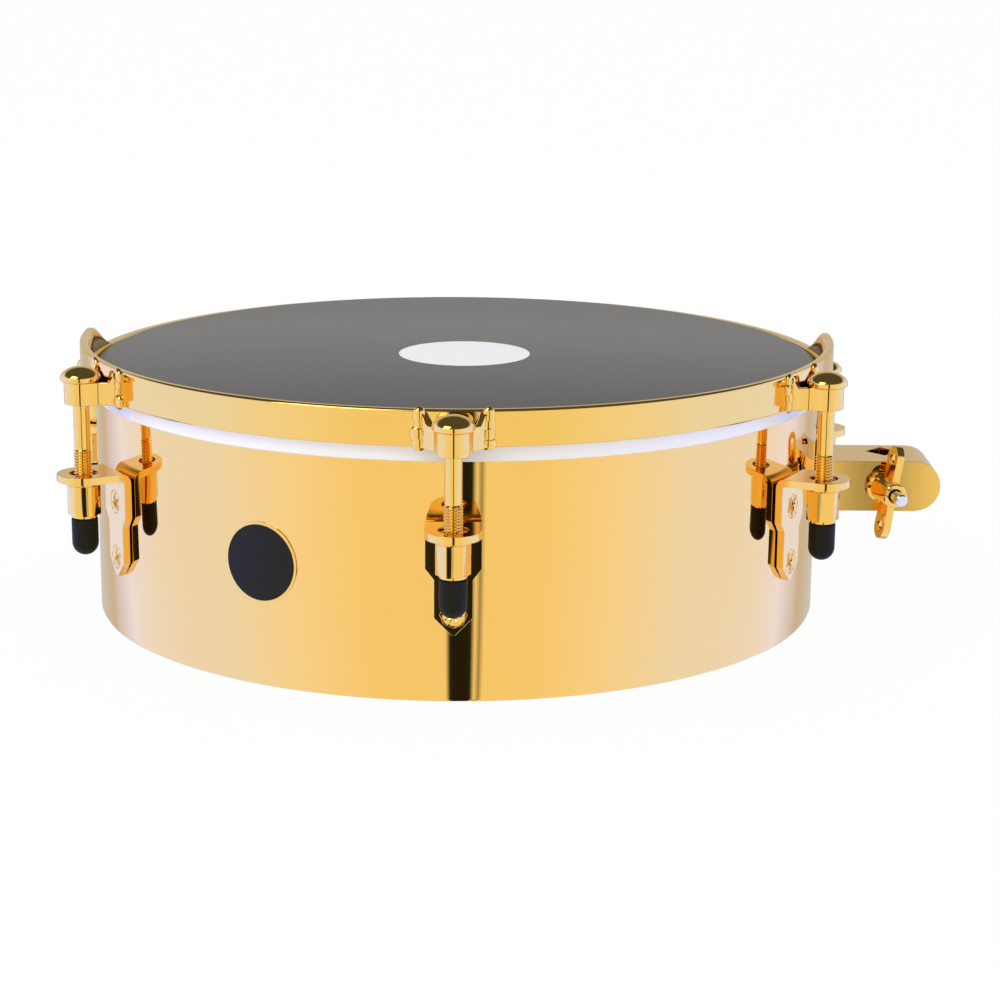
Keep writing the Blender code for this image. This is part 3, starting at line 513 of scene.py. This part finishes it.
def makeBadge(s):
    def onShell(reach, turn, lift):
        around = math.radians(s["azimuth"]) + reach * math.cos(turn) / shellSizes["radius"]
        outward = shellSizes["radius"] + lift
        return Vector((outward * math.cos(around), outward * math.sin(around),
                       level(s["height"] + reach * math.sin(turn))))

    def addRings(bm, stations):
        turns = [math.tau * step / s["steps"] for step in range(s["steps"])]
        rings = [[bm.verts.new(onShell(reach, turn, lift)) for turn in turns] for reach, lift in stations]
        for outer, inner in zip(rings, rings[1:]):
            for step in range(s["steps"]):
                after = (step + 1) % s["steps"]
                bm.faces.new((outer[step], outer[after], inner[after], inner[step]))
        return rings

    face, lift = s["radius"] - s["ring"], s["lift"]
    bm = bmesh.new()
    addRings(bm, [(s["radius"], s["foot"]), (s["radius"], lift * s["side"]), (s["radius"] - s["edge"], lift),
                  (face, lift), (face, s["foot"])])
    makePiece(bm, "badgeRing", gold, "gold", "drum")
    bm = bmesh.new()
    rings = addRings(bm, [(face, s["foot"]), (face, lift * s["side"])]
                     + [(face * reach, lift * rise) for reach, rise in s["crown"]])
    bm.faces.new(rings[-1])
    makePiece(bm, "badgeFace", looks["badgeBlack"], "rubber", "drum")


makeBadge(badgeSizes)
print("badge made")

# Stage, light and camera
floorSizes = {"half": 6.0, "drop": 0.0005, "paint": 0.9, "roughness": 0.9, "glow": 1.0, "glowShare": 0.96}


# A pale floor that the camera sees as nearly white, and that still takes the object's shadow
def stageFloor(s):
    bm = bmesh.new()
    bmesh.ops.create_grid(bm, x_segments=2, y_segments=2, size=s["half"])
    mesh = bpy.data.meshes.new("paleFloor")
    bm.to_mesh(mesh)
    bm.free()
    floor = bpy.data.objects.new("paleFloor", mesh)
    floor.location.z = level(0) - s["drop"]
    bpy.context.scene.collection.objects.link(floor)
    made, tree, shader = newMaterial("paleFloor")
    shader.inputs["Base Color"].default_value = (s["paint"], s["paint"], s["paint"], 1)
    shader.inputs["Roughness"].default_value = s["roughness"]
    white = addNode(tree, "ShaderNodeEmission", Strength=s["glow"])
    white.inputs["Color"].default_value = (1, 1, 1, 1)
    path = tree.nodes.new("ShaderNodeLightPath")
    most = addNode(tree, "ShaderNodeMath", operation="MAXIMUM")
    tree.links.new(path.outputs["Is Camera Ray"], most.inputs[0])
    tree.links.new(path.outputs["Is Glossy Ray"], most.inputs[1])
    share = addNode(tree, "ShaderNodeMath", operation="MULTIPLY")
    share.inputs[1].default_value = s["glowShare"]
    tree.links.new(most.outputs[0], share.inputs[0])
    mix = tree.nodes.new("ShaderNodeMixShader")
    tree.links.new(share.outputs[0], mix.inputs[0])
    tree.links.new(shader.outputs[0], mix.inputs[1])
    tree.links.new(white.outputs[0], mix.inputs[2])
    tree.links.new(mix.outputs[0], tree.nodes["Material Output"].inputs["Surface"])
    mesh.materials.append(made)
    floor.visible_glossy = False


# What mirrors see, by degrees from the camera's side: bars as (from, to), and where each wall tint begins
studio = {"strength": 3.0, "sideTint": (0.30, 0.375, 0.85), "midTint": (0.33, 0.355, 0.52),
          "frontTint": (0.325, 0.325, 0.325), "backTint": (0.205, 0.203, 0.197),
          "dark": (0.006, 0.006, 0.006),
          "cameraBar": (-2.5, 6.3), "thinBar": (7.8, 8.5), "barEdge": 0.2,
          "walls": ((25, "frontTint"), (50, "midTint"), (80, "sideTint"), (130, "sideTint"),
                    (148, "backTint"), (180, "backTint")),
          "ceilingShade": (0.03, 0.03, 0.03), "ceilingStart": 0.40, "ceilingEnd": 0.58}


# White all round for plain light. Mirrors see soft walls, cool at the sides, a dark ceiling, and the
# dark bars of a camera and its stand.
def studioWorld(s):
    world = bpy.data.worlds.new("studio")
    bpy.context.scene.world = world
    world.use_nodes = True
    tree = world.node_tree
    back = tree.nodes["Background"]
    path = tree.nodes.new("ShaderNodeLightPath")
    place = tree.nodes.new("ShaderNodeTexCoord")
    split = tree.nodes.new("ShaderNodeSeparateXYZ")
    flip = addNode(tree, "ShaderNodeMath", operation="MULTIPLY")
    flip.inputs[1].default_value = -1
    turn = addNode(tree, "ShaderNodeMath", operation="ARCTAN2")
    spread = addNode(tree, "ShaderNodeMapRange")
    spread.inputs["From Min"].default_value = -math.pi
    spread.inputs["From Max"].default_value = math.pi
    ramp = tree.nodes.new("ShaderNodeValToRGB")
    tree.links.new(place.outputs["Generated"], split.inputs[0])
    tree.links.new(split.outputs["Y"], flip.inputs[0])
    tree.links.new(split.outputs["X"], turn.inputs[0])
    tree.links.new(flip.outputs[0], turn.inputs[1])
    tree.links.new(turn.outputs[0], spread.inputs["Value"])
    tree.links.new(spread.outputs["Result"], ramp.inputs["Fac"])
    bars = []
    for low, high in (s["cameraBar"], s["thinBar"]):
        bars += [(low - s["barEdge"], s["frontTint"]), (low + s["barEdge"], s["dark"]),
                 (high - s["barEdge"], s["dark"]), (high + s["barEdge"], s["frontTint"])]
    walls = [(degrees, s[tint]) for degrees, tint in s["walls"]]
    stops = [(-degrees, tint) for degrees, tint in reversed(walls)] + bars + walls
    bands = ramp.color_ramp.elements
    while len(bands) > 1:
        bands.remove(bands[-1])
    bands[0].position = 0.0
    bands[0].color = (*stops[0][1], 1)
    for degrees, colour in stops[1:]:
        band = bands.new(0.5 + degrees / 360)
        band.color = (*colour, 1)

    ceiling = addNode(tree, "ShaderNodeMapRange")
    ceiling.inputs["From Min"].default_value = s["ceilingStart"]
    ceiling.inputs["From Max"].default_value = s["ceilingEnd"]
    shade = addNode(tree, "ShaderNodeMix", data_type="RGBA")
    shade.inputs[secondColour].default_value = (*s["ceilingShade"], 1)
    tree.links.new(split.outputs["Z"], ceiling.inputs["Value"])
    tree.links.new(ceiling.outputs["Result"], shade.inputs["Factor"])
    tree.links.new(ramp.outputs["Color"], shade.inputs[firstColour])

    plain = addNode(tree, "ShaderNodeMix", data_type="RGBA")
    white = 1 / s["strength"]
    plain.inputs[firstColour].default_value = (white, white, white, 1)
    tree.links.new(path.outputs["Is Glossy Ray"], plain.inputs["Factor"])
    tree.links.new(shade.outputs[mixedColour], plain.inputs[secondColour])
    tree.links.new(plain.outputs[mixedColour], back.inputs["Color"])
    back.inputs["Strength"].default_value = s["strength"]


# The photograph's view: metres and degrees, with the focal length in widths of the picture
cameraSizes = {"distance": 1.2, "elevation": 14.028, "roll": 0.423, "focal": 2.583, "sensor": 36.0,
               "aimX": 0.019902, "aimHeight": 0.043861}


def makeCamera(s):
    elevation, roll = math.radians(s["elevation"]), math.radians(s["roll"])
    target = Vector((s["aimX"], 0, level(s["aimHeight"])))
    forward = Vector((0, math.cos(elevation), -math.sin(elevation)))
    up = Vector((0, math.sin(elevation), math.cos(elevation)))
    right = Vector((1, 0, 0))
    rightRolled = right * math.cos(roll) + up * math.sin(roll)
    upRolled = up * math.cos(roll) - right * math.sin(roll)
    lens = bpy.data.cameras.new("photoCamera")
    lens.sensor_width = s["sensor"]
    lens.sensor_fit = "HORIZONTAL"
    lens.lens = s["sensor"] * s["focal"]
    camera = bpy.data.objects.new("photoCamera", lens)
    bpy.context.scene.collection.objects.link(camera)
    camera.matrix_world = Matrix.Translation(target - forward * s["distance"]) @ Matrix(
        (rightRolled, upRolled, -forward)).transposed().to_4x4()
    bpy.context.scene.camera = camera


keyLamp = {"place": (-1.2, -1.4, 1.8), "size": 1.4, "power": 18}


# A soft lamp that faces the playing face's centre
def addLamp(name, s):
    lamp = bpy.data.lights.new(name, "AREA")
    lamp.size = s["size"]
    lamp.energy = s["power"]
    lampObject = bpy.data.objects.new(name, lamp)
    bpy.context.scene.collection.objects.link(lampObject)
    lampObject.location = s["place"]
    lampObject.rotation_euler = (Vector((0, 0, 0)) - Vector(s["place"])).to_track_quat("-Z", "Y").to_euler()


stageFloor(floorSizes)
studioWorld(studio)
makeCamera(cameraSizes)
addLamp("keySoft", keyLamp)
bpy.context.scene.view_settings.view_transform = "Standard"
print("stage ready")
